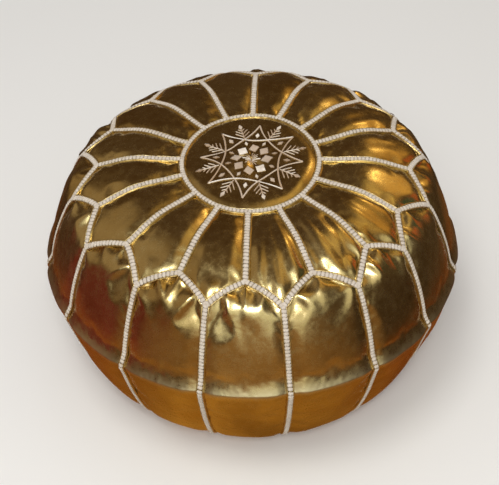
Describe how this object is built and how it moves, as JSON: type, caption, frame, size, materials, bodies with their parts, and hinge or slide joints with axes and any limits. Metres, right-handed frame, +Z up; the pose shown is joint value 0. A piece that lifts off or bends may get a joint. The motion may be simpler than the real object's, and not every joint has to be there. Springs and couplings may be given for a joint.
{
  "type": "moroccan leather pouf",
  "caption": "Round stuffed leather floor seat: petals around an embroidered medallion, pleated side panels, raised ladder-stitched seams and a zip in the base.",
  "frame": {"origin": "on the floor, under the middle of the base", "axes": "+Z up; one radial seam of the top points along -Y, the front; the zip in the base runs along X"},
  "size_m": [0.5402, 0.5402, 0.3046],
  "materials": {
    "petal_leather": "glossy gold-foiled goat leather, fine grain, dark in the folds",
    "side_leather": "glossy gold-foiled goat leather, puckered below the petals",
    "medallion_leather": "glossy gold-foiled goat leather, nearly flat",
    "base_leather": "plain brown leather, matt",
    "seam_thread": "off-white waxed thread, raised ladder stitch",
    "embroidery_thread": "off-white silky thread, satin stitch",
    "zip_tape": "woven brown tape",
    "zip_brass": "brushed brass, slightly worn",
    "liner_cotton": "unbleached cotton",
    "stuffing_fabric": "packed textile scraps"
  },
  "bodies": {
    "cover": {"petal_01": "petal_leather", "petal_02": "petal_leather", "petal_03": "petal_leather", "petal_04": "petal_leather", "petal_05": "petal_leather", "petal_06": "petal_leather", "petal_07": "petal_leather", "petal_08": "petal_leather", "petal_09": "petal_leather", "petal_10": "petal_leather", "petal_11": "petal_leather", "petal_12": "petal_leather", "petal_13": "petal_leather", "petal_14": "petal_leather", "petal_15": "petal_leather", "petal_16": "petal_leather", "side_panel_01": "side_leather", "side_panel_02": "side_leather", "side_panel_03": "side_leather", "side_panel_04": "side_leather", "side_panel_05": "side_leather", "side_panel_06": "side_leather", "side_panel_07": "side_leather", "side_panel_08": "side_leather", "side_panel_09": "side_leather", "side_panel_10": "side_leather", "side_panel_11": "side_leather", "side_panel_12": "side_leather", "side_panel_13": "side_leather", "side_panel_14": "side_leather", "side_panel_15": "side_leather", "side_panel_16": "side_leather", "medallion": "medallion_leather", "base_panel": "base_leather", "medallion_ring_stitching": "seam_thread", "radial_seam_stitching": "seam_thread", "chevron_seam_stitching": "seam_thread", "side_seam_stitching": "seam_thread", "base_ring_stitching": "seam_thread", "star_embroidery": "embroidery_thread", "sprig_embroidery": "embroidery_thread", "point_diamond_embroidery": "embroidery_thread", "centre_diamond_embroidery": "embroidery_thread", "rosette_embroidery": "embroidery_thread", "zip_tape_front": "zip_tape", "zip_tape_back": "zip_tape", "zip_teeth_front": "zip_brass", "zip_teeth_back": "zip_brass", "zip_bottom_stop": "zip_brass", "zip_top_stops": "zip_brass", "inner_liner": "liner_cotton", "stuffing": "stuffing_fabric"},
    "slider": {"zip_slider": "zip_brass"},
    "pull_tab": {"zip_pull_tab": "zip_brass"}
  },
  "joints": [
    {"name": "zip_slide", "type": "slide", "parent": "cover", "child": "slider", "axis": [1, 0, 0], "range_m": [-0.288, 0]},
    {"name": "pull_tab_hinge", "type": "hinge", "parent": "slider", "child": "pull_tab", "pos_m": [0.148, 0, 0.0016], "axis": [0, 1, 0], "range_deg": [-150, 0]}
  ]
}
